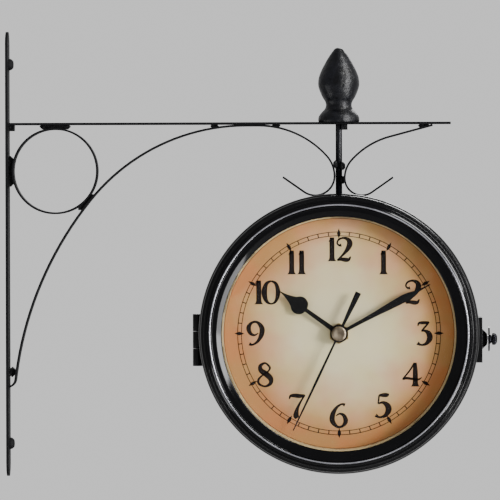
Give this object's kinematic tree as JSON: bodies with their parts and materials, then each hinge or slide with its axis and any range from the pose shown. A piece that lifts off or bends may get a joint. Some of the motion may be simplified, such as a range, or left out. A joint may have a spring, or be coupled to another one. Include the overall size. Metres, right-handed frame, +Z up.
{
  "type": "station clock",
  "caption": "Double sided round station clock that hangs and turns below a scrolled wall bracket; the front half swings open on a side hinge with a thumb nut latch.",
  "frame": {"origin": "on the back face of the wall plate, midway between its two screw holes", "axes": "+X from the wall along the arm, +Z up, front dial faces -Y"},
  "size_m": [0.2847, 0.076, 0.258],
  "materials": {
    "black_iron": "satin black paint over wrought iron, a little mottled",
    "zinc_steel": "zinc plated",
    "black_enamel": "black enamel",
    "gloss_black": "gloss black enamel",
    "clear_glass": "clear flat glass",
    "pale_ring": "pale cream",
    "cream_dial": "cream printed card with a browned edge",
    "brass_nut": "bright",
    "black_plastic": "fine moulded texture",
    "cell_sleeve": "plain dark sleeve",
    "black_hands": "satin black",
    "nickel_cap": "spun, brownish nickel"
  },
  "bodies": {
    "bracket": {"wall_plate": "black_iron", "arm_bar": "black_iron", "hoop_ring": "black_iron", "brace_strip": "black_iron", "scroll_strip": "black_iron", "finial_post": "black_iron", "frame_welds": "black_iron", "swivel_washer": "zinc_steel", "lock_nuts": "zinc_steel"},
    "clock_body": {"rear_shell": "black_enamel", "saddle": "black_enamel", "rear_hinge_leaf": "black_enamel", "hinge_pin": "zinc_steel", "latch_stud": "zinc_steel", "rear_bezel": "gloss_black", "rear_glass": "clear_glass", "rear_dial_ring": "pale_ring", "rear_dial": "cream_dial", "rear_centre_nut": "brass_nut", "rear_movement": "black_plastic", "rear_movement_cover": "black_plastic", "rear_battery": "cell_sleeve", "rear_battery_contacts": "brass_nut"},
    "front_case": {"front_shell": "black_enamel", "front_hinge_leaf": "black_enamel", "latch_hasp": "black_enamel", "front_bezel": "gloss_black", "front_glass": "clear_glass", "front_dial_ring": "pale_ring", "front_dial": "cream_dial", "front_centre_nut": "brass_nut", "front_movement": "black_plastic", "front_movement_cover": "black_plastic", "front_battery": "cell_sleeve", "front_battery_contacts": "brass_nut"},
    "latch_washer": {"thumb_washer": "black_enamel"},
    "latch_nut": {"thumb_nut": "black_enamel"},
    "front_hour": {"front_hour_hand": "black_hands"},
    "front_minute": {"front_minute_hand": "black_hands"},
    "front_second": {"front_second_hand": "black_hands", "front_hub_cap": "nickel_cap"},
    "front_setting": {"front_set_knob": "black_plastic"},
    "rear_hour": {"rear_hour_hand": "black_hands"},
    "rear_minute": {"rear_minute_hand": "black_hands"},
    "rear_second": {"rear_second_hand": "black_hands", "rear_hub_cap": "nickel_cap"},
    "rear_setting": {"rear_set_knob": "black_plastic"}
  },
  "joints": [
    {"name": "drum_swivel", "type": "hinge", "parent": "bracket", "child": "clock_body", "pos_m": [0.1932, 0, 0.03059], "axis": [0, 0, 1], "continuous": true},
    {"name": "case_hinge", "type": "hinge", "parent": "clock_body", "child": "front_case", "pos_m": [0.1113, -0.009, -0.04991], "axis": [0, 0, -1], "range_deg": [0, 105]},
    {"name": "latch_travel", "type": "slide", "parent": "clock_body", "child": "latch_washer", "axis": [1, 0, 0], "range_m": [0, 0.0028]},
    {"name": "latch_turn", "type": "hinge", "parent": "latch_washer", "child": "latch_nut", "pos_m": [0.2803, 0, -0.04991], "axis": [1, 0, 0], "range_deg": [0, 1440]},
    {"name": "front_second_turn", "type": "hinge", "parent": "front_case", "child": "front_second", "pos_m": [0.1932, 0, -0.04591], "axis": [0, 1, 0], "continuous": true},
    {"name": "front_minute_turn", "type": "hinge", "parent": "front_case", "child": "front_minute", "pos_m": [0.1932, 0, -0.04591], "axis": [0, 1, 0], "continuous": true},
    {"name": "front_hour_turn", "type": "hinge", "parent": "front_case", "child": "front_hour", "pos_m": [0.1932, 0, -0.04591], "axis": [0, 1, 0], "continuous": true},
    {"name": "front_setting_turn", "type": "hinge", "parent": "front_case", "child": "front_setting", "pos_m": [0.1772, -0.003, -0.03391], "axis": [0, 1, 0], "continuous": true},
    {"name": "rear_second_turn", "type": "hinge", "parent": "clock_body", "child": "rear_second", "pos_m": [0.1932, 0, -0.04591], "axis": [0, -1, 0], "continuous": true},
    {"name": "rear_minute_turn", "type": "hinge", "parent": "clock_body", "child": "rear_minute", "pos_m": [0.1932, 0, -0.04591], "axis": [0, -1, 0], "continuous": true},
    {"name": "rear_hour_turn", "type": "hinge", "parent": "clock_body", "child": "rear_hour", "pos_m": [0.1932, 0, -0.04591], "axis": [0, -1, 0], "continuous": true},
    {"name": "rear_setting_turn", "type": "hinge", "parent": "clock_body", "child": "rear_setting", "pos_m": [0.2092, 0.003, -0.03391], "axis": [0, -1, 0], "continuous": true}
  ],
  "couplings": [
    {"joint": "latch_turn", "follows": "latch_travel", "rad_per_m": 8976},
    {"joint": "front_minute_turn", "follows": "front_second_turn", "ratio": 0.016667},
    {"joint": "front_hour_turn", "follows": "front_second_turn", "ratio": 0.0013889},
    {"joint": "front_setting_turn", "follows": "front_second_turn", "ratio": -0.0055556},
    {"joint": "rear_minute_turn", "follows": "rear_second_turn", "ratio": 0.016667},
    {"joint": "rear_hour_turn", "follows": "rear_second_turn", "ratio": 0.0013889},
    {"joint": "rear_setting_turn", "follows": "rear_second_turn", "ratio": -0.0055556}
  ]
}
